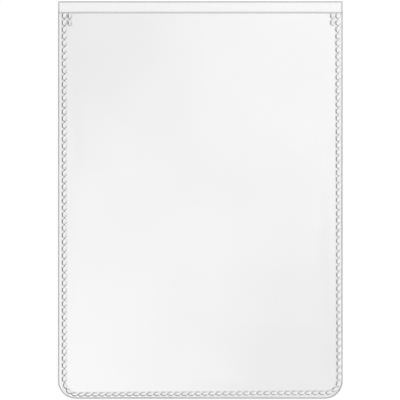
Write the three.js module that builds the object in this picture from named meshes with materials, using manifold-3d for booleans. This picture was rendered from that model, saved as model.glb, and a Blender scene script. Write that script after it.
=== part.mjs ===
// Clear vinyl pocket for business cards. Two flexible PVC films are joined along both long sides and
// the bottom by a beaded weld, and two short tack welds strengthen the corners of the open mouth.
//
// Millimetres, +Z up. The pocket lies on its back: X is its width, +Y points to its mouth, and the
// rear face is the plane Z = 0, with the origin in the middle of it.

import * as THREE from 'three';
import { mergeVertices } from 'three/addons/utils/BufferGeometryUtils.js';
import Module from 'manifold-3d';

const wasm = await Module();
wasm.setup();

// The two films and their die-cut outline
const POCKET_WIDTH = 68;
const POCKET_HEIGHT = 95;
const CORNER_RADIUS = 4.2;
const BACK_FILM = 0.25;
const FRONT_FILM = 0.25;
const LIP_HEIGHT = 2.5;

// The cutting rule pinches the outer edge of the front film
const PINCH_WIDTH = 0.16;
const PINCH_SHARE = 0.5;

// Card space: the front film lies on the back film along the weld, then rises over the card
const CARD_GAP = 0.5;
const RISE_RUN = 2.6;
const WINDOW_CORNER = 0.9;
const LAND_MARGIN = 0.1;

// Distance of the weld's centre line from the cut edge, which the die missed by a little
const WELD_LEFT = 1.5;
const WELD_RIGHT_AT_MOUTH = 1.15;
const WELD_RIGHT_AT_FOOT = 0.85;
const WELD_BOTTOM_LEFT = 0.85;
const WELD_BOTTOM_RIGHT = 1.35;
const WELD_CORNER_INSET = 1.2;
const WELD_BELOW_MOUTH = 0.2;

// Beads: round cushions whose sides run in to the shoulder and on to the crown. The reaches are
// shares of a bead's half width, and the rises are shares of its height. The bottom's own beads
// lack a sliver of their width on the side of the cut edge.
const BEAD_PITCH = 1.64;
const BEAD_SPACE = 0.24;
const BEAD_WIDTH = 1.2;
const BOTTOM_BEAD_TRIM = 0.2;
const BEAD_HEIGHT = 0.5;
const SHOULDER_REACH = 0.94;
const SHOULDER_RISE = 0.55;
const CROWN_REACH = 0.68;
const CROWN_RISE = 0.88;

// The thin strip that the beads stand on, in a channel pressed into the front film
const STRIP_MARGIN = 0.025;
const STRIP_THICKNESS = 0.0625;
const STRIP_CLEARANCE = 0.05;
const PRESS_SHARE = 0.5;

// Tack welds beside the first beads at the mouth
const TACK_BEADS = 2;
const TACK_SPACE = 0.05;

// Faceting, and how close two points are the same point
const ARC_STEPS = 5;
const BEAD_SIDES = 10;
const RISE_STEPS = 6;
const SAME_POINT = 1e-5;

// Finishes
const FILM = { colour: 0xf2f3f4, roughness: 0.1, opacity: 0.35 };
const WELD = { colour: 0xdfe1e3, roughness: 0.2, opacity: 0.5 };

const mouthY = POCKET_HEIGHT / 2 - LIP_HEIGHT;
const stripWidth = BEAD_WIDTH + 2 * STRIP_MARGIN;
const channelWidth = stripWidth + 2 * STRIP_CLEARANCE;
const tackOffset = stripWidth + TACK_SPACE;
const weldFloor = BACK_FILM + FRONT_FILM * (1 - PRESS_SHARE);
const bottomLand = channelWidth / 2 + LAND_MARGIN;
const sideLand = tackOffset + bottomLand;

// Three U-shaped lines, each given by its distance from the sides of the full outline: the edge
// that the films are cut to, the middle of the weld, and the place where the front film leaves the
// back film, inside the beads at the bottom and inside the tack welds at the sides.
const cutEdge = {
  left: 0,
  rightAtMouth: 0,
  rightAtFoot: 0,
  bottomLeft: 0,
  bottomRight: 0,
  radius: CORNER_RADIUS,
  top: POCKET_HEIGHT / 2,
};

const weldCentre = {
  left: WELD_LEFT,
  rightAtMouth: WELD_RIGHT_AT_MOUTH,
  rightAtFoot: WELD_RIGHT_AT_FOOT,
  bottomLeft: WELD_BOTTOM_LEFT,
  bottomRight: WELD_BOTTOM_RIGHT,
  radius: Math.max(CORNER_RADIUS - WELD_CORNER_INSET, bottomLand),
  top: mouthY - WELD_BELOW_MOUTH,
};

const landEdge = {
  left: WELD_LEFT + sideLand,
  rightAtMouth: WELD_RIGHT_AT_MOUTH + sideLand,
  rightAtFoot: WELD_RIGHT_AT_FOOT + sideLand,
  bottomLeft: WELD_BOTTOM_LEFT + bottomLand,
  bottomRight: WELD_BOTTOM_RIGHT + bottomLand,
  radius: Math.max(weldCentre.radius - bottomLand, RISE_RUN + WINDOW_CORNER),
  top: mouthY,
};

// Spans of such a line, from its first curve up to but not including its last: one side, the
// bottom with both corners, and the other side.
const LEFT_SIDE = [0, 1];
const BOTTOM_SIDE = [1, 4];
const RIGHT_SIDE = [4, 5];
const ALL_SIDES = [0, 5];

// Draws such a line down the left side, round both bottom corners and up the right side. The bottom
// may slope and the right side may lean, and each corner's arc touches both of its sides. Inward
// moves the whole line towards the middle of the pocket, parallel to itself.
function pocketLine(sides, inward = 0) {
  const { left, rightAtMouth, rightAtFoot, bottomLeft, bottomRight, radius, top } = sides;
  const xLeft = left - POCKET_WIDTH / 2;
  const xRight = POCKET_WIDTH / 2 - rightAtFoot;
  const yLeft = bottomLeft - POCKET_HEIGHT / 2;
  const yRight = bottomRight - POCKET_HEIGHT / 2;
  const slope = Math.atan2(yRight - yLeft, xRight - xLeft);
  const lean = Math.atan2(rightAtMouth - rightAtFoot, mouthY - yRight);
  const leftCentre = new THREE.Vector2(
    xLeft + radius,
    yLeft + radius * (1 + Math.sin(slope)) / Math.cos(slope),
  );
  const reach = radius / Math.cos(slope - lean);
  const rightCentre = new THREE.Vector2(
    xRight - reach * (Math.cos(slope) + Math.sin(lean)),
    yRight + reach * (Math.cos(lean) - Math.sin(slope)),
  );
  const turn = 1.5 * Math.PI + slope;
  const r = radius - inward;

  const line = new THREE.Path();
  line.moveTo(leftCentre.x - r, top);
  line.lineTo(leftCentre.x - r, leftCentre.y);
  line.absarc(leftCentre.x, leftCentre.y, r, Math.PI, turn, false);
  line.absarc(rightCentre.x, rightCentre.y, r, turn, 2 * Math.PI + lean, false);
  const rise = top - line.currentPoint.y;
  line.lineTo(line.currentPoint.x - rise * Math.tan(lean), top);
  return line;
}

// A span of the weld's middle line, that beads are set along.
function weldRun(span) {
  const run = new THREE.CurvePath();
  run.curves = pocketLine(weldCentre).curves.slice(...span);
  return run;
}

// A band of that width along a span of the weld.
function weldBand(span, width, top = weldCentre.top) {
  const edge = (inward) => {
    const path = new THREE.Path();
    path.curves = pocketLine({ ...weldCentre, top }, inward).curves.slice(...span);
    return path.getPoints(ARC_STEPS);
  };
  return new THREE.Shape([...edge(-width / 2), ...edge(width / 2).reverse()]);
}

function beadCount(run) {
  return Math.round(run.getLength() / BEAD_PITCH);
}

// A tack weld lies inside the left (-1) or right (1) side of the weld and runs down beside its
// first beads, parallel to it.
function tackRun(side) {
  const span = side < 0 ? LEFT_SIDE : RIGHT_SIDE;
  const beside = weldRun(span);
  const length = TACK_BEADS * beside.getLength() / beadCount(beside);
  const { v1, v2 } = pocketLine(weldCentre, tackOffset).curves[span[0]];
  const [mouth, foot] = side < 0 ? [v1, v2] : [v2, v1];
  return new THREE.LineCurve(mouth, mouth.clone().lerp(foot, length / mouth.distanceTo(foot)));
}

function tackBand(side, width, clearance = 0) {
  const { v1: start, v2: end } = tackRun(side);
  const shape = new THREE.Shape();
  shape.moveTo(start.x - width / 2, start.y + clearance);
  shape.lineTo(end.x - width / 2, end.y - clearance);
  shape.lineTo(end.x + width / 2, end.y - clearance);
  shape.lineTo(start.x + width / 2, start.y + clearance);
  return shape;
}

function prism(shape, bottom, height) {
  const geometry = new THREE.ExtrudeGeometry(shape, { depth: height, bevelEnabled: false });
  geometry.translate(0, 0, bottom);
  return geometry;
}

// Closed geometry to a solid that can be joined and cut, and back again.
function toSolid(geometry) {
  const bare = geometry.clone();
  bare.deleteAttribute('normal');
  bare.deleteAttribute('uv');
  const merged = mergeVertices(bare, SAME_POINT);
  return new wasm.Manifold(new wasm.Mesh({
    numProp: 3,
    vertProperties: merged.attributes.position.array,
    triVerts: Uint32Array.from(merged.index.array),
  }));
}

function toGeometry(solid) {
  const mesh = solid.getMesh();
  const geometry = new THREE.BufferGeometry();
  geometry.setAttribute('position', new THREE.BufferAttribute(mesh.vertProperties, 3));
  geometry.setIndex(new THREE.BufferAttribute(mesh.triVerts, 1));
  geometry.computeVertexNormals();
  return geometry;
}

// Lofts a sheet of film through U-shaped rows, from the cut edge inwards, and closes it with the
// flat window inside the last row. Each row is { points, under, over }: the heights of the film's
// two faces there.
function loftFilm(rows) {
  const count = rows[0].points.length;
  const position = [];
  for (const row of rows) {
    for (const height of [row.over, row.under]) {
      for (const point of row.points) {
        position.push(point.x, point.y, height);
      }
    }
  }
  const over = (row, i) => 2 * row * count + i;
  const under = (row, i) => (2 * row + 1) * count + i;

  const index = [];
  const quad = (a, b, c, d) => index.push(a, b, c, a, c, d);
  const last = rows.length - 1;
  const end = count - 1;
  for (let row = 0; row < last; row += 1) {
    for (let i = 0; i < end; i += 1) {
      quad(over(row, i), over(row, i + 1), over(row + 1, i + 1), over(row + 1, i));
      quad(under(row, i), under(row + 1, i), under(row + 1, i + 1), under(row, i + 1));
    }
    quad(over(row, 0), over(row + 1, 0), under(row + 1, 0), under(row, 0));
    quad(over(row, end), under(row, end), under(row + 1, end), over(row + 1, end));
  }
  for (let i = 0; i < end; i += 1) {
    quad(over(0, i), under(0, i), under(0, i + 1), over(0, i + 1));
  }
  for (const [a, b, c] of THREE.ShapeUtils.triangulateShape(rows[last].points, [])) {
    index.push(over(last, a), over(last, b), over(last, c));
    index.push(under(last, a), under(last, c), under(last, b));
  }
  quad(over(last, 0), over(last, end), under(last, end), under(last, 0));

  const geometry = new THREE.BufferGeometry();
  geometry.setAttribute('position', new THREE.Float32BufferAttribute(position, 3));
  geometry.setIndex(index);
  return geometry;
}

// Back film: the full outline, with square corners at the lip and round ones at the bottom.
function makeBackFilm() {
  const outline = new THREE.Shape(pocketLine(cutEdge).getPoints(ARC_STEPS));
  return prism(outline, 0, BACK_FILM);
}

// Front film: shorter by the lip, pinched at its cut edge, flat where it is welded, and raised over
// the card space. The welding die has pressed a channel into it for each strip of beads.
function makeFrontFilm() {
  const edge = { ...cutEdge, top: mouthY };
  const row = (line, under, over) => ({ points: line.getPoints(ARC_STEPS), under, over });
  const top = BACK_FILM + FRONT_FILM;
  const rows = [
    row(pocketLine(edge), BACK_FILM, top - FRONT_FILM * PINCH_SHARE),
    row(pocketLine(edge, PINCH_WIDTH), BACK_FILM, top),
  ];
  for (let step = 0; step <= RISE_STEPS; step += 1) {
    const along = step / RISE_STEPS;
    const rise = CARD_GAP * THREE.MathUtils.smoothstep(along, 0, 1);
    rows.push(row(pocketLine(landEdge, along * RISE_RUN), BACK_FILM + rise, top + rise));
  }
  let film = toSolid(loftFilm(rows));

  const channels = [
    weldBand(ALL_SIDES, channelWidth, weldCentre.top + STRIP_CLEARANCE),
    tackBand(-1, channelWidth, STRIP_CLEARANCE),
    tackBand(1, channelWidth, STRIP_CLEARANCE),
  ];
  for (const channel of channels) {
    film = film.subtract(toSolid(prism(channel, weldFloor, FRONT_FILM)));
  }
  return toGeometry(film);
}

// One bead: a round cushion with steep sides, a little longer than it is wide. It starts halfway
// down the strip, so that the two are one solid. A trimmed one keeps its place on the inner side.
function makeBead(length, trim) {
  const foot = weldFloor + STRIP_THICKNESS / 2;
  const height = BEAD_HEIGHT - STRIP_THICKNESS / 2;
  const profile = [
    new THREE.Vector2(0, 0),
    new THREE.Vector2(1, 0),
    new THREE.Vector2(SHOULDER_REACH, SHOULDER_RISE * height),
    new THREE.Vector2(CROWN_REACH, CROWN_RISE * height),
    new THREE.Vector2(0, height),
  ];
  const bead = new THREE.LatheGeometry(profile, BEAD_SIDES);
  bead.rotateX(Math.PI / 2);
  bead.scale(length / 2, (BEAD_WIDTH - trim) / 2, 1);
  bead.translate(0, trim / 2, foot);
  return bead;
}

// A beaded weld: its strip, with a bead at the middle of each pitch along the run.
function makeBeadedWeld(run, strip, count, trim = 0) {
  const bead = makeBead(run.getLength() / count - BEAD_SPACE, trim);
  const solids = [toSolid(prism(strip, weldFloor, STRIP_THICKNESS))];
  for (let i = 0; i < count; i += 1) {
    const along = (i + 0.5) / count;
    const place = run.getPoint(along);
    const heading = run.getTangent(along).angle();
    solids.push(toSolid(bead.clone().rotateZ(heading).translate(place.x, place.y, 0)));
  }
  return toGeometry(wasm.Manifold.union(solids));
}

function makeSeam(span, trim = 0) {
  const run = weldRun(span);
  return makeBeadedWeld(run, weldBand(span, stripWidth), beadCount(run), trim);
}

function makeTack(side) {
  return makeBeadedWeld(tackRun(side), tackBand(side, stripWidth), TACK_BEADS);
}

const group = new THREE.Group();

function addPiece(name, geometry, { colour, roughness, opacity }) {
  const material = new THREE.MeshStandardMaterial({
    color: colour,
    roughness,
    metalness: 0,
    transparent: true,
    opacity,
  });
  const mesh = new THREE.Mesh(geometry, material);
  mesh.name = name;
  group.add(mesh);
}

addPiece('back_film', makeBackFilm(), FILM);
addPiece('front_film', makeFrontFilm(), FILM);
addPiece('left_seam', makeSeam(LEFT_SIDE), WELD);
addPiece('bottom_seam', makeSeam(BOTTOM_SIDE, BOTTOM_BEAD_TRIM), WELD);
addPiece('right_seam', makeSeam(RIGHT_SIDE), WELD);
addPiece('left_mouth_tack', makeTack(-1), WELD);
addPiece('right_mouth_tack', makeTack(1), WELD);

export default group;
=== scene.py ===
# Clear vinyl pocket for business cards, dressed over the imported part: two calendered PVC films,
# the beaded weld that joins them on three sides, and a tack weld at each corner of the mouth.

import math

import bmesh
import bpy
from mathutils import Matrix, Vector


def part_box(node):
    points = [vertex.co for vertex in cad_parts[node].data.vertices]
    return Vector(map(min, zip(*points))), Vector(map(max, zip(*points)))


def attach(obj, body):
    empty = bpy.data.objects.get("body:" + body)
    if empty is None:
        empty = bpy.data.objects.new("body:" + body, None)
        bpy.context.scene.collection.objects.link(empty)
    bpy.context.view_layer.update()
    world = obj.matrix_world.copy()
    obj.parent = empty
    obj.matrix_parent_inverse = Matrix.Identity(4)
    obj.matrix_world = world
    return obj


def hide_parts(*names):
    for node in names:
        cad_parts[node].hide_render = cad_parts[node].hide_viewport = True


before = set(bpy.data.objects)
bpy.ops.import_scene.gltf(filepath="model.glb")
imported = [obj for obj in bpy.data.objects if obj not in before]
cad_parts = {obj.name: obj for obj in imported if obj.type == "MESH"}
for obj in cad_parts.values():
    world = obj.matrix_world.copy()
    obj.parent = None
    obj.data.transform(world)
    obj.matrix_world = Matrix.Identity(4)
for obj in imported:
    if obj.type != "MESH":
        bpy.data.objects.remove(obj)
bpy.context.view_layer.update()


# Back film: one plain sheet of clear flexible PVC, full height, with square corners at the lip and
# round ones at the bottom. A rule cuts it, and leaves a rounded edge, which is painted greyer as
# shade for the light that the edge bends away. It is a little milkier than the front film.

MM = 0.001
back_low, back_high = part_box("back_film")
HALF_WIDTH = back_high.x
BOTTOM, TOP = back_low.y, back_high.y
CUT_RADIUS = 4.2 * MM
CORNER_STEPS = 12
FILM_CLEARANCE = 0.01 * MM
EDGE_ROUNDING = 0.1 * MM
EDGE_STEPS = 4
EDGE_BAND = 0.2 * MM
PVC_IOR = 1.53
SHARP_ANGLE = math.radians(50)

# Slots: the clear film, and the edge grey, which is painted shade for the light that edges bend
# away.
CLEAR, EDGE_SHADE = 0, 1


def linear(hex_colour):
    """An sRGB hex colour as the linear RGBA that a socket takes."""
    channels = [int(hex_colour[i : i + 2], 16) / 255 for i in (1, 3, 5)]
    return [c / 12.92 if c <= 0.04045 else ((c + 0.055) / 1.055) ** 2.4 for c in channels] + [1]


def add_node(tree, kind, inputs=None, **settings):
    """Adds a node to a tree. An input is a plain value, or the socket that it is linked from."""
    node = tree.nodes.new(kind)
    for name, value in settings.items():
        setattr(node, name, value)
    for name, value in (inputs or {}).items():
        if isinstance(value, bpy.types.NodeSocket):
            tree.links.new(value, node.inputs[name])
        else:
            node.inputs[name].default_value = value
    return node


def new_material(name):
    """An empty material, its node tree, and the Object coordinates that its patterns read."""
    material = bpy.data.materials.new(name)
    material.use_nodes = True
    tree = material.node_tree
    tree.nodes.clear()
    return material, tree, add_node(tree, "ShaderNodeTexCoord").outputs["Object"]


def calendered_film(name, cloudy, clear):
    """Clear PVC film, calendered between polished rolls: glossy, with a slow unevenness of the
    sheet and a fine orange peel, and a very faint cloud from its plasticiser."""
    wave_width, wave_depth = 22 * MM, 0.008 * MM
    peel_width, peel_depth = 1.1 * MM, 0.0015 * MM
    material, tree, place = new_material(name)
    sheet_wave = add_node(
        tree,
        "ShaderNodeTexNoise",
        {"Vector": place, "Scale": 1 / wave_width, "Detail": 1.0, "Roughness": 0.4},
    )
    orange_peel = add_node(
        tree,
        "ShaderNodeTexNoise",
        {"Vector": place, "Scale": 1 / peel_width, "Detail": 2.0, "Roughness": 0.5},
    )
    waves = add_node(
        tree,
        "ShaderNodeBump",
        {"Height": sheet_wave.outputs["Fac"], "Distance": wave_depth, "Strength": 1.0},
    )
    peel = add_node(
        tree,
        "ShaderNodeBump",
        {
            "Height": orange_peel.outputs["Fac"],
            "Normal": waves.outputs["Normal"],
            "Distance": peel_depth,
            "Strength": 1.0,
        },
    )
    cloud = add_node(tree, "ShaderNodeValToRGB", {"Fac": sheet_wave.outputs["Fac"]})
    for stop, position, colour in zip(cloud.color_ramp.elements, (0.3, 0.7), (cloudy, clear)):
        stop.position = position
        stop.color = linear(colour)
    film = add_node(
        tree,
        "ShaderNodeBsdfPrincipled",
        {
            "Base Color": cloud.outputs["Color"],
            "Normal": peel.outputs["Normal"],
            "Roughness": 0.08,
            "IOR": PVC_IOR,
            "Transmission Weight": 1.0,
        },
    )
    add_node(tree, "ShaderNodeOutputMaterial", {"Surface": film.outputs["BSDF"]})
    return material


def painted_edge_shade_film(name, grey, pale):
    """The same film at a cut edge: duller, and painted grey as shade for the dark line that the edge
    draws by bending the light.
    """
    mark_width = 0.8 * MM
    material, tree, place = new_material(name)
    shade_mottle = add_node(
        tree, "ShaderNodeTexNoise", {"Vector": place, "Scale": 1 / mark_width, "Detail": 2.0}
    )
    tone = add_node(tree, "ShaderNodeValToRGB", {"Fac": shade_mottle.outputs["Fac"]})
    for stop, position, colour in zip(tone.color_ramp.elements, (0.3, 0.7), (grey, pale)):
        stop.position = position
        stop.color = linear(colour)
    edge = add_node(
        tree,
        "ShaderNodeBsdfPrincipled",
        {
            "Base Color": tone.outputs["Color"],
            "Roughness": 0.25,
            "IOR": PVC_IOR,
            "Transmission Weight": 1.0,
        },
    )
    add_node(tree, "ShaderNodeOutputMaterial", {"Surface": edge.outputs["BSDF"]})
    return material


back_material = calendered_film("calendered_pvc_back", "#f7f7f7", "#f9f9f9")
# The edge grey is painted shade for the dark line that a cut edge draws by bending the light.
edge_shade_material = painted_edge_shade_film("pvc_edge_painted_shade", "#bcbebf", "#c8cacb")


def finish_piece(bm, name, materials, node):
    """Turns a bmesh into the piece that stands for that CAD node."""
    bmesh.ops.recalc_face_normals(bm, faces=bm.faces)
    if bm.calc_volume(signed=True) < 0:
        bmesh.ops.reverse_faces(bm, faces=bm.faces)
    for face in bm.faces:
        face.smooth = True
    mesh = bpy.data.meshes.new(name)
    bm.to_mesh(mesh)
    bm.free()
    mesh.set_sharp_from_angle(angle=SHARP_ANGLE)
    for material in materials:
        mesh.materials.append(material)
    piece = bpy.data.objects.new(name, mesh)
    bpy.context.scene.collection.objects.link(piece)
    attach(piece, "root")
    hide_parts(node)


bm = bmesh.new()
outline = [(-HALF_WIDTH, BOTTOM), (HALF_WIDTH, BOTTOM), (HALF_WIDTH, TOP), (-HALF_WIDTH, TOP)]
bm.faces.new([bm.verts.new((x, y, 0)) for x, y in outline])
bmesh.ops.bevel(
    bm,
    geom=[v for v in bm.verts if v.co.y < 0],
    offset=CUT_RADIUS,
    offset_type="OFFSET",
    affect="VERTICES",
    segments=CORNER_STEPS,
    profile=0.5,
    material=-1,
)
raised = bmesh.ops.extrude_face_region(bm, geom=bm.faces[:])["geom"]
bmesh.ops.translate(
    bm,
    vec=(0, 0, back_high.z - FILM_CLEARANCE),
    verts=[v for v in raised if isinstance(v, bmesh.types.BMVert)],
)
bmesh.ops.recalc_face_normals(bm, faces=bm.faces)
bmesh.ops.bevel(
    bm,
    geom=[e for e in bm.edges if abs(e.verts[0].co.z - e.verts[1].co.z) < FILM_CLEARANCE],
    offset=EDGE_ROUNDING,
    offset_type="OFFSET",
    affect="EDGES",
    segments=EDGE_STEPS,
    profile=0.5,
    material=-1,
    clamp_overlap=True,
)

# The two flat sides are the level faces with more than four corners. What goes round them, the cut
# edge and a narrow band beside it, gets the edge grey, painted shade for the light the edge bends
# away.
flats = [f for f in bm.faces if abs(f.normal.z) > 0.999 and len(f.verts) > 4]
bmesh.ops.inset_region(bm, faces=flats, thickness=EDGE_BAND, use_even_offset=True)
for face in bm.faces:
    face.material_index = CLEAR if face in flats else EDGE_SHADE
finish_piece(bm, "back_film_sheet", [back_material, edge_shade_material], "back_film")


# Front film: the same sheet, shorter by the lip. It is pinched at the cut edge, lies on the back
# film along the weld, where the die presses a channel into it, and rises over the card space. Behind
# its edge at the open mouth a narrow band is painted greyer, as shade for the dark line the edge
# draws.

front_low, front_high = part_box("front_film")
MOUTH = front_high.y
CARD_GAP = 0.5 * MM
FILM_THICKNESS = front_high.z - front_low.z - CARD_GAP
LAND_TOP = front_low.z + FILM_THICKNESS
PINCH_WIDTH = 0.16 * MM
PINCH_SHARE = 0.5
PINCH_STEPS = 4
RISE_RUN = 2.6 * MM
RISE_STEPS = 12
WINDOW_CORNER = 0.9 * MM
PRESS_SHARE = 0.5
WELD_FLOOR = LAND_TOP - PRESS_SHARE * FILM_THICKNESS
CHANNEL_HALF = 0.64 * MM
CHANNEL_SIDE = 0.04 * MM
LAND_HALF = 0.775 * MM
TACK_OFFSET = 1.3 * MM
MOUTH_SHADE_BAND = (0.06 * MM, 0.5 * MM)

# The slot for the band behind the mouth, which is painted grey as shade.
MOUTH_SHADE = 2

# Lines round the pocket, by their distance from the sides of the full outline: the middle of the
# weld, the cut edge, and where the front film leaves the back film, inside the weld and its tacks.
WELD_LINE = {
    "left": 1.5 * MM,
    "right_at_mouth": 1.15 * MM,
    "right_at_foot": 0.85 * MM,
    "bottom_left": 0.85 * MM,
    "bottom_right": 1.35 * MM,
    "radius": 3.0 * MM,
}
CUT_LINE = {**dict.fromkeys(WELD_LINE, 0), "radius": CUT_RADIUS}
LAND_LINE = {"radius": RISE_RUN + WINDOW_CORNER}
for side in ("left", "right_at_mouth", "right_at_foot"):
    LAND_LINE[side] = WELD_LINE[side] + TACK_OFFSET + LAND_HALF
for side in ("bottom_left", "bottom_right"):
    LAND_LINE[side] = WELD_LINE[side] + LAND_HALF


def corner_points(line):
    """Where the left side and the bottom of a line meet, then the bottom and the right side, and
    the lean of the right side."""
    left_foot = Vector((line["left"] - HALF_WIDTH, BOTTOM + line["bottom_left"]))
    right_foot = Vector((HALF_WIDTH - line["right_at_foot"], BOTTOM + line["bottom_right"]))
    lean = math.atan2(line["right_at_mouth"] - line["right_at_foot"], MOUTH - right_foot.y)
    return left_foot, right_foot, lean


def ring(bm, line, inward, z):
    """The edges of a closed ring along a line, moved inward. It goes on above the mouth, as far as
    it lies below, so that the mouth can be cut straight across."""
    left_foot, right_foot, lean = corner_points(line)
    x0, y0 = left_foot + Vector((inward, inward))
    y1 = right_foot.y + inward
    corners = [(x0, y0)]
    for y in (y1, 2 * MOUTH - y1):
        corners.append((right_foot.x - inward - (y - right_foot.y) * math.tan(lean), y))
    corners.append((x0, 2 * MOUTH - y0))
    verts = [bm.verts.new((x, y, z)) for x, y in corners]
    bm.faces.new(verts)
    bmesh.ops.bevel(
        bm,
        geom=verts,
        offset=line["radius"] - inward,
        offset_type="OFFSET",
        affect="VERTICES",
        segments=CORNER_STEPS,
        profile=0.5,
        material=-1,
    )
    edges = [edge for face in bm.faces for edge in face.edges]
    bmesh.ops.delete(bm, geom=bm.faces[:], context="FACES_ONLY")
    return edges


def cut_across(bm, y, **options):
    """Cuts the whole mesh along a straight line across the pocket."""
    whole = bm.verts[:] + bm.edges[:] + bm.faces[:]
    bmesh.ops.bisect_plane(bm, geom=whole, plane_co=(0, y, 0), plane_no=(0, 1, 0), **options)


# The film's section as steps (line, distance inward, height): over the top from the window out to
# the cut edge, then back underneath.
under = front_low.z + FILM_CLEARANCE
rise = []
for step in range(RISE_STEPS + 1):
    share = step / RISE_STEPS
    rise.append((share * RISE_RUN, CARD_GAP * share * share * (3 - 2 * share)))
section = [(LAND_LINE, inward, LAND_TOP + height) for inward, height in reversed(rise)]
section += [
    (WELD_LINE, CHANNEL_HALF + CHANNEL_SIDE, LAND_TOP),
    (WELD_LINE, CHANNEL_HALF, WELD_FLOOR),
    (WELD_LINE, -CHANNEL_HALF, WELD_FLOOR),
    (WELD_LINE, -CHANNEL_HALF - CHANNEL_SIDE, LAND_TOP),
]
pinch_height = FILM_THICKNESS * (1 - PINCH_SHARE)
for step in range(PINCH_STEPS, -1, -1):
    angle = math.pi / 2 * step / PINCH_STEPS
    inward = PINCH_WIDTH * (1 - math.cos(angle))
    height = pinch_height + (FILM_THICKNESS - pinch_height) * math.sin(angle)
    section.append((CUT_LINE, inward, front_low.z + height))
section.append((CUT_LINE, 0.0, under))
section += [(LAND_LINE, inward, under + height) for inward, height in rise]

# The rings are joined while they stand one above the other, and then each goes to its own height.
STACK_STEP = 10 * MM

bm = bmesh.new()
rings = [
    ring(bm, line, inward, level * STACK_STEP) for level, (line, inward, _) in enumerate(section)
]
for level, (first, second) in enumerate(zip(rings, rings[1:])):
    wall = bmesh.ops.bridge_loops(bm, edges=first + second)["faces"]
    (line, _, z), (next_line, _, next_z) = section[level : level + 2]
    # The cut edge and the steep sides of the weld channel get the edge grey, painted shade for the
    # light they bend away.
    cut_edge = line is next_line is CUT_LINE
    channel_side = line is next_line is WELD_LINE and z != next_z
    for face in wall:
        face.material_index = EDGE_SHADE if cut_edge or channel_side else CLEAR
for level, (edges, (_, _, z)) in enumerate(zip(rings, section)):
    verts = list({v for edge in edges for v in edge.verts})
    bmesh.ops.translate(bm, vec=(0, 0, z - level * STACK_STEP), verts=verts)
bmesh.ops.edgeloop_fill(bm, edges=rings[0])
bmesh.ops.edgeloop_fill(bm, edges=rings[-1])
bmesh.ops.recalc_face_normals(bm, faces=bm.faces)
cut_across(bm, MOUTH, clear_outer=True)
bmesh.ops.edgeloop_fill(bm, edges=[e for e in bm.edges if e.is_boundary])
# A band just behind the mouth is painted grey, as shade for the dark line along the mouth edge.
for below in MOUTH_SHADE_BAND:
    cut_across(bm, MOUTH - below)
for face in bm.faces:
    if MOUTH_SHADE_BAND[0] < MOUTH - face.calc_center_median().y < MOUTH_SHADE_BAND[1]:
        face.material_index = MOUTH_SHADE
front_materials = [
    calendered_film("calendered_pvc_front", "#fefefe", "#ffffff"),
    edge_shade_material,
    painted_edge_shade_film("pvc_mouth_painted_shade", "#d6d8d9", "#dcdedf"),
]
finish_piece(bm, "front_film_sheet", front_materials, "front_film")


# Beaded weld: a strip of both films, fused by a high-frequency electrode that is ribbed across, so
# that square cushions with rounded corners stand up along it. It is clear on top of each bead. On
# the steep sides and on the web between two beads it is painted grey, as shade for the light it
# bends away.

BEAD_PITCH = 1.64 * MM
BEAD_SPACE = 0.24 * MM
BEAD_WIDTH = 1.2 * MM
BOTTOM_BEAD_TRIM = 0.2 * MM
BEAD_ROUNDING_SHARE = 0.43
BEAD_CORNER_STEPS = 3
WEB_HALF = 0.19 * MM
STRIP_MARGIN = 0.025 * MM
STRIP_THICKNESS = 0.0625 * MM
SAME_LEVEL = STRIP_MARGIN / 2
BEAD_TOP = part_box("left_seam")[1].z
WELD_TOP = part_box("left_seam")[1].y

# Slots: the clear crown, and the grey flank, which is painted shade for the light that steep sides
# bend away.
CROWN, FLANK_SHADE = 0, 1

# The side of a bead is upright at its foot, and then goes in by steps: (inwards, share of the
# height at the end of the step, finish, and finish where it faces the next bead).
UPRIGHT_SHARE = 0.35
BEAD_STEPS = (
    (0.1 * MM, 0.62, FLANK_SHADE, FLANK_SHADE),
    (0.16 * MM, 0.93, FLANK_SHADE, CROWN),
    (0.12 * MM, 1.0, CROWN, CROWN),
)

# A side faces the next bead if its normal runs this much more along the strip than across it, so
# that the rounded corners don't.
ALONG_RATIO = 1.5


def weld_crown():
    """Fused PVC on top of a bead, pressed by the polished electrode: clear and glossy, with a
    slight ripple from its flow."""
    flow_width, flow_depth = 0.7 * MM, 0.01 * MM
    material, tree, place = new_material("fused_pvc_crown")
    flow = add_node(
        tree, "ShaderNodeTexNoise", {"Vector": place, "Scale": 1 / flow_width, "Detail": 1.0}
    )
    ripple = add_node(
        tree,
        "ShaderNodeBump",
        {"Height": flow.outputs["Fac"], "Distance": flow_depth, "Strength": 1.0},
    )
    crown = add_node(
        tree,
        "ShaderNodeBsdfPrincipled",
        {
            "Base Color": linear("#ffffff"),
            "Normal": ripple.outputs["Normal"],
            "Roughness": 0.1,
            "IOR": PVC_IOR,
            "Transmission Weight": 1.0,
        },
    )
    add_node(tree, "ShaderNodeOutputMaterial", {"Surface": crown.outputs["BSDF"]})
    return material


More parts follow.
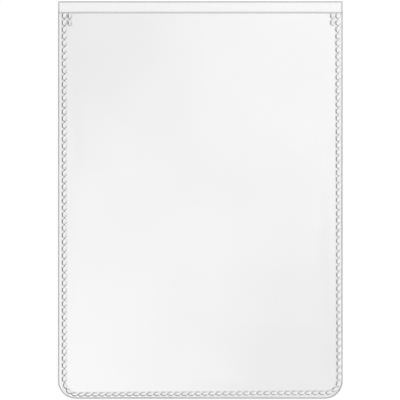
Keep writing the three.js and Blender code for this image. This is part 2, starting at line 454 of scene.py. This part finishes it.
def weld_flank_painted_shade():
    """Fused PVC on the steep side of a bead: stretched, a little hazy, and painted grey as shade for
    the light that it bends away. The painted shade is lighter towards the right side of the pocket,
    and on the sides of a bead that face right or towards the mouth, the sides that the light falls
    on."""
    haze_width, haze_share = 2.5 * MM, 0.3
    painted_light_at_left, painted_light_at_right = 0.25, 0.8
    lit_way = (0.52, 0.6, 0)
    material, tree, place = new_material("fused_pvc_flank_painted_shade")
    haze = add_node(
        tree, "ShaderNodeTexNoise", {"Vector": place, "Scale": 1 / haze_width, "Detail": 1.0}
    )
    # Painted shade: the grey is painted darker towards the left side of the pocket, lighter towards
    # the right.
    parts = add_node(tree, "ShaderNodeSeparateXYZ", {"Vector": place})
    across = add_node(
        tree,
        "ShaderNodeMapRange",
        {
            "Value": parts.outputs["X"],
            "From Min": -HALF_WIDTH,
            "From Max": HALF_WIDTH,
            "To Min": painted_light_at_left,
            "To Max": painted_light_at_right,
        },
    )
    # Painted light and shade: sides that face right or towards the mouth are painted lighter, the
    # others darker.
    normal = add_node(tree, "ShaderNodeNewGeometry").outputs["Normal"]
    side = add_node(
        tree, "ShaderNodeVectorMath", {0: normal, 1: lit_way}, operation="DOT_PRODUCT"
    )
    painted_light = add_node(
        tree,
        "ShaderNodeMath",
        {0: across.outputs[0], 1: side.outputs["Value"]},
        operation="ADD",
    )
    haze_and_painted_light = add_node(
        tree,
        "ShaderNodeMath",
        {0: haze.outputs["Fac"], 1: haze_share, 2: painted_light.outputs[0]},
        operation="MULTIPLY_ADD",
    )
    tone = add_node(tree, "ShaderNodeValToRGB", {"Fac": haze_and_painted_light.outputs[0]})
    for stop, position, colour in zip(tone.color_ramp.elements, (0.0, 1.0), ("#808183", "#d4d5d7")):
        stop.position = position
        stop.color = linear(colour)
    flank = add_node(
        tree,
        "ShaderNodeBsdfPrincipled",
        {
            "Base Color": tone.outputs["Color"],
            "Roughness": 0.3,
            "IOR": PVC_IOR,
            "Transmission Weight": 0.15,
        },
    )
    add_node(tree, "ShaderNodeOutputMaterial", {"Surface": flank.outputs["BSDF"]})
    return material


def weld_route():
    """The middle of the weld as straight and round stretches: (start, heading, length, radius)."""
    left_foot, right_foot, lean = corner_points(WELD_LINE)
    radius = WELD_LINE["radius"]
    bottom = right_foot - left_foot
    slope = math.atan2(bottom.y, bottom.x)
    left_centre = left_foot + radius * Vector((1, (1 + math.sin(slope)) / math.cos(slope)))
    reach = radius / math.cos(slope - lean)
    right_centre = right_foot + reach * Vector(
        (-math.cos(slope) - math.sin(lean), math.cos(lean) - math.sin(slope))
    )
    down, along, up = -math.pi / 2, slope, math.pi / 2 + lean
    bottom_start = left_centre + radius * Vector((math.sin(slope), -math.cos(slope)))
    right_start = right_centre + radius * Vector((math.cos(lean), math.sin(lean)))
    right_length = (WELD_TOP - right_start.y) / math.cos(lean)
    return [
        (Vector((left_foot.x, WELD_TOP)), down, WELD_TOP - left_centre.y, 0),
        (Vector((left_foot.x, left_centre.y)), down, radius * (along - down), radius),
        (bottom_start, along, (right_centre - left_centre).length, 0),
        (bottom_start + (right_centre - left_centre), along, radius * (up - along), radius),
        (right_start, up, right_length, 0),
    ]


def on_route(route, distance):
    """The point at a distance along a route, and the heading there. The last stretch goes on past
    the end of the route."""
    for start, heading, length, radius in route:
        if distance <= length:
            break
        distance -= length
    else:
        distance += length
    if radius:
        turned = heading + distance / radius
        centre = start + radius * Vector((-math.sin(heading), math.cos(heading)))
        return centre + radius * Vector((math.sin(turned), -math.cos(turned))), turned
    return start + distance * Vector((math.cos(heading), math.sin(heading))), heading


def bead_count(route):
    return round(sum(stretch[2] for stretch in route) / BEAD_PITCH)


def on_level(face, z):
    return abs(face.calc_center_median().z - z) < SAME_LEVEL


def beaded_strip(route, count, floor, trim=0.0, steps=BEAD_STEPS):
    """A strip with a bead at the middle of each pitch: made straight, then bent along its route.
    Trimmed beads lack a sliver of their width on the side of the cut edge."""
    bead_width = BEAD_WIDTH - trim
    length = sum(stretch[2] for stretch in route)
    pitch = length / count
    half = BEAD_WIDTH / 2 + STRIP_MARGIN
    strip_top = floor + STRIP_THICKNESS
    height = BEAD_TOP - strip_top
    upright_top = strip_top + UPRIGHT_SHARE * height

    # A cell of the grid for each bead, drawn in to the bead's foot
    bm = bmesh.new()
    bmesh.ops.create_grid(bm, x_segments=count, y_segments=1, size=0.5)
    bmesh.ops.scale(bm, vec=(length, 2 * half, 1), verts=bm.verts)
    bmesh.ops.translate(bm, vec=(length / 2, 0, strip_top), verts=bm.verts)
    cells = bm.faces[:]
    bmesh.ops.inset_individual(bm, faces=cells, thickness=STRIP_MARGIN, use_even_offset=True)
    shrink = ((pitch - BEAD_SPACE) / (pitch - 2 * STRIP_MARGIN), bead_width / BEAD_WIDTH, 1)
    for cell in cells:
        to_middle = Matrix.Translation(-cell.calc_center_median())
        bmesh.ops.scale(bm, vec=shrink, space=to_middle, verts=cell.verts)
        bmesh.ops.translate(bm, vec=(0, trim / 2, 0), verts=cell.verts)

    # The upright foot of the beads, with rounded corners
    beads = bmesh.ops.extrude_discrete_faces(bm, faces=cells)["faces"]
    lifted = [v for bead in beads for v in bead.verts]
    bmesh.ops.translate(bm, vec=(0, 0, upright_top - strip_top), verts=lifted)
    bmesh.ops.bevel(
        bm,
        geom=[e for e in bm.edges if abs(e.verts[0].co.z - e.verts[1].co.z) > SAME_LEVEL],
        offset=BEAD_ROUNDING_SHARE * bead_width,
        offset_type="OFFSET",
        affect="EDGES",
        segments=BEAD_CORNER_STEPS,
        profile=0.5,
        material=-1,
    )
    for face in bm.faces:
        face.material_index = FLANK_SHADE if abs(face.normal.z) < 0.5 else CROWN

    # The web between two beads, a band along the middle of the strip, painted grey as shade between
    # the beads
    web = [
        f
        for f in bm.faces
        if on_level(f, strip_top) and abs(f.calc_center_median().y) < half / 2
    ]
    for y in (-WEB_HALF, WEB_HALF):
        edges = {e for f in web for e in f.edges}
        verts = {v for f in web for v in f.verts}
        cut = bmesh.ops.bisect_plane(
            bm, geom=[*web, *edges, *verts], plane_co=(0, y, 0), plane_no=(0, 1, 0)
        )["geom"]
        web = [g for g in cut if isinstance(g, bmesh.types.BMFace)]
    for face in web:
        if abs(face.calc_center_median().y) < WEB_HALF:
            face.material_index = FLANK_SHADE

    # The cushion over the upright foot
    tops = [f for f in bm.faces if on_level(f, upright_top)]
    risen = UPRIGHT_SHARE
    for inwards, share, finish, finish_between in steps:
        sides = bmesh.ops.inset_individual(
            bm,
            faces=tops,
            thickness=inwards,
            depth=(share - risen) * height,
            use_even_offset=True,
        )["faces"]
        for side in sides:
            faces_next_bead = abs(side.normal.x) > ALONG_RATIO * abs(side.normal.y)
            side.material_index = finish_between if faces_next_bead else finish
        risen = share

    # The sides of the strip, in short lengths that can bend, and its underside
    rim = [e for e in bm.edges if e.is_boundary]
    long_sides = [e for e in rim if abs(e.verts[0].co.y - e.verts[1].co.y) < SAME_LEVEL]
    bmesh.ops.subdivide_edges(bm, edges=long_sides, cuts=2)
    rim = [e for e in bm.edges if e.is_boundary]
    walls = bmesh.ops.extrude_edge_only(bm, edges=rim)["geom"]
    foot = [v for v in walls if isinstance(v, bmesh.types.BMVert)]
    bmesh.ops.translate(bm, vec=(0, 0, -STRIP_THICKNESS), verts=foot)
    for wall in walls:
        if isinstance(wall, bmesh.types.BMFace):
            wall.material_index = FLANK_SHADE
    bmesh.ops.edgeloop_fill(bm, edges=[e for e in bm.edges if e.is_boundary])

    for vert in bm.verts:
        place, heading = on_route(route, vert.co.x)
        across = Vector((-math.sin(heading), math.cos(heading)))
        vert.co.xy = place + vert.co.y * across
    return bm


weld_materials = [weld_crown(), weld_flank_painted_shade()]
weld = weld_route()
left_side, bottom_side, right_side = weld[:1], weld[1:4], weld[4:]
for name, route, trim in (
    ("left", left_side, 0.0),
    ("bottom", bottom_side, BOTTOM_BEAD_TRIM),
    ("right", right_side, 0.0),
):
    bm = beaded_strip(route, bead_count(route), WELD_FLOOR + FILM_CLEARANCE, trim)
    finish_piece(bm, f"{name}_beaded_weld", weld_materials, f"{name}_seam")


# Mouth tacks: two more beads beside the first two of each side, pressed by the same electrode, so
# that the weld can't start to tear when a card is pushed in. Their grey flank, which is painted
# shade, goes up to the edge of their tops.

TACK_BEADS = 2
TACK_STEPS = [
    (inwards, share, FLANK_SHADE, finish_between) for inwards, share, _, finish_between in BEAD_STEPS
]

lean = corner_points(WELD_LINE)[2]
left_mouth = left_side[0][0]
right_mouth = on_route(right_side, right_side[0][2])[0]
for name, mouth, inward, heading, side in (
    ("left", left_mouth, TACK_OFFSET, -math.pi / 2, left_side),
    ("right", right_mouth, -TACK_OFFSET / math.cos(lean), lean - math.pi / 2, right_side),
):
    length = TACK_BEADS * side[0][2] / bead_count(side)
    route = [(mouth + Vector((inward, 0)), heading, length, 0)]
    bm = beaded_strip(route, TACK_BEADS, LAND_TOP + FILM_CLEARANCE, steps=TACK_STEPS)
    finish_piece(bm, f"{name}_mouth_tack_weld", weld_materials, f"{name}_mouth_tack")


# Studio: a plain white table that shows white to the eye and keeps the pocket's faint shadow, soft
# light from all round, more of it from the right, and a camera that looks straight down on the
# pocket through a long lens.

IMAGE_PIXELS = 400
POCKET_PIXELS = 284.25
PIXEL = 2 * HALF_WIDTH / POCKET_PIXELS
AIM_ACROSS, AIM_ALONG = -0.37 * PIXEL, -0.13 * PIXEL
CAMERA_HEIGHT = 0.5
SENSOR = 36.0
TABLE_HALF = 1.5
TABLE_CLEARANCE = 0.02 * MM

camera_data = bpy.data.cameras.new("camera")
camera_data.sensor_width = SENSOR
camera_data.lens = SENSOR * CAMERA_HEIGHT / (IMAGE_PIXELS * PIXEL)
camera = bpy.data.objects.new("camera", camera_data)
camera.location = (AIM_ACROSS, AIM_ALONG, CAMERA_HEIGHT)
bpy.context.scene.collection.objects.link(camera)
bpy.context.scene.camera = camera


def table_top():
    """White laminate: white where the camera sees it, straight or through the film, with a small
    part of the real shading left in, so that the pocket's shadow shows."""
    glow = 0.915
    material, tree, _ = new_material("white_table")
    path = add_node(tree, "ShaderNodeLightPath")
    seen = path.outputs["Is Camera Ray"]
    for ray in ("Is Glossy Ray", "Is Transmission Ray"):
        either = add_node(
            tree, "ShaderNodeMath", {0: seen, 1: path.outputs[ray]}, operation="MAXIMUM"
        )
        seen = either.outputs[0]
    lit = add_node(tree, "ShaderNodeBsdfDiffuse", {"Color": linear("#e6e6e6")})
    faint = add_node(tree, "ShaderNodeBsdfDiffuse", {"Color": linear("#595959")})
    white = add_node(tree, "ShaderNodeEmission", {"Color": linear("#ffffff"), "Strength": glow})
    shown = add_node(tree, "ShaderNodeAddShader", {0: white.outputs[0], 1: faint.outputs[0]})
    mixed = add_node(
        tree, "ShaderNodeMixShader", {"Fac": seen, 1: lit.outputs[0], 2: shown.outputs[0]}
    )
    add_node(tree, "ShaderNodeOutputMaterial", {"Surface": mixed.outputs[0]})
    return material


bm = bmesh.new()
bmesh.ops.create_grid(bm, x_segments=1, y_segments=1, size=TABLE_HALF)
bmesh.ops.translate(bm, vec=(0, 0, back_low.z - TABLE_CLEARANCE), verts=bm.verts)
mesh = bpy.data.meshes.new("table")
bm.to_mesh(mesh)
bm.free()
mesh.materials.append(table_top())
table = bpy.data.objects.new("table", mesh)
bpy.context.scene.collection.objects.link(table)


def soft_sky():
    """Even studio light, weaker at the left. Straight above, where the film mirrors it back to the
    camera, it is brighter towards two opposite corners, as under two large soft boxes."""
    corners_from, corners_to = -0.008, 0.006
    dim_corners, bright_corners = 0.55, 1.33
    overhead_ends, sides_start = 0.8, 0.6
    left_edge, right_edge = -0.6, 0.6
    left_strength, right_strength = 0.3, 1.15
    world = bpy.data.worlds.new("studio")
    world.use_nodes = True
    tree = world.node_tree
    tree.nodes.clear()
    way = add_node(tree, "ShaderNodeTexCoord").outputs["Generated"]
    parts = add_node(tree, "ShaderNodeSeparateXYZ", {"Vector": way})
    corner = add_node(
        tree,
        "ShaderNodeMath",
        {0: parts.outputs["X"], 1: parts.outputs["Y"]},
        operation="MULTIPLY",
    )
    overhead = add_node(
        tree,
        "ShaderNodeMapRange",
        {
            "Value": corner.outputs[0],
            "From Min": corners_from,
            "From Max": corners_to,
            "To Min": dim_corners,
            "To Max": bright_corners,
        },
        interpolation_type="SMOOTHSTEP",
    )
    low = add_node(
        tree,
        "ShaderNodeMapRange",
        {"Value": parts.outputs["Z"], "From Min": overhead_ends, "From Max": sides_start},
        interpolation_type="SMOOTHSTEP",
    )
    sideways = add_node(
        tree,
        "ShaderNodeMapRange",
        {
            "Value": parts.outputs["X"],
            "From Min": left_edge,
            "From Max": right_edge,
            "To Min": left_strength,
            "To Max": right_strength,
        },
    )
    light = add_node(
        tree,
        "ShaderNodeMix",
        {"Factor": low.outputs[0], "A": overhead.outputs[0], "B": sideways.outputs[0]},
        data_type="FLOAT",
    )
    background = add_node(
        tree, "ShaderNodeBackground", {"Color": linear("#ffffff"), "Strength": light.outputs[0]}
    )
    add_node(tree, "ShaderNodeOutputWorld", {"Surface": background.outputs[0]})
    return world


bpy.context.scene.world = soft_sky()

soft_box_data = bpy.data.lights.new("soft_box", "AREA")
soft_box_data.shape = "SQUARE"
soft_box_data.size = 1.0
soft_box_data.energy = 8
soft_box = bpy.data.objects.new("soft_box", soft_box_data)
soft_box.location = (1.1, 0.2, 0.5)
soft_box.rotation_euler = (-soft_box.location).to_track_quat("-Z", "Y").to_euler()
bpy.context.scene.collection.objects.link(soft_box)

bpy.context.scene.view_settings.view_transform = "Standard"
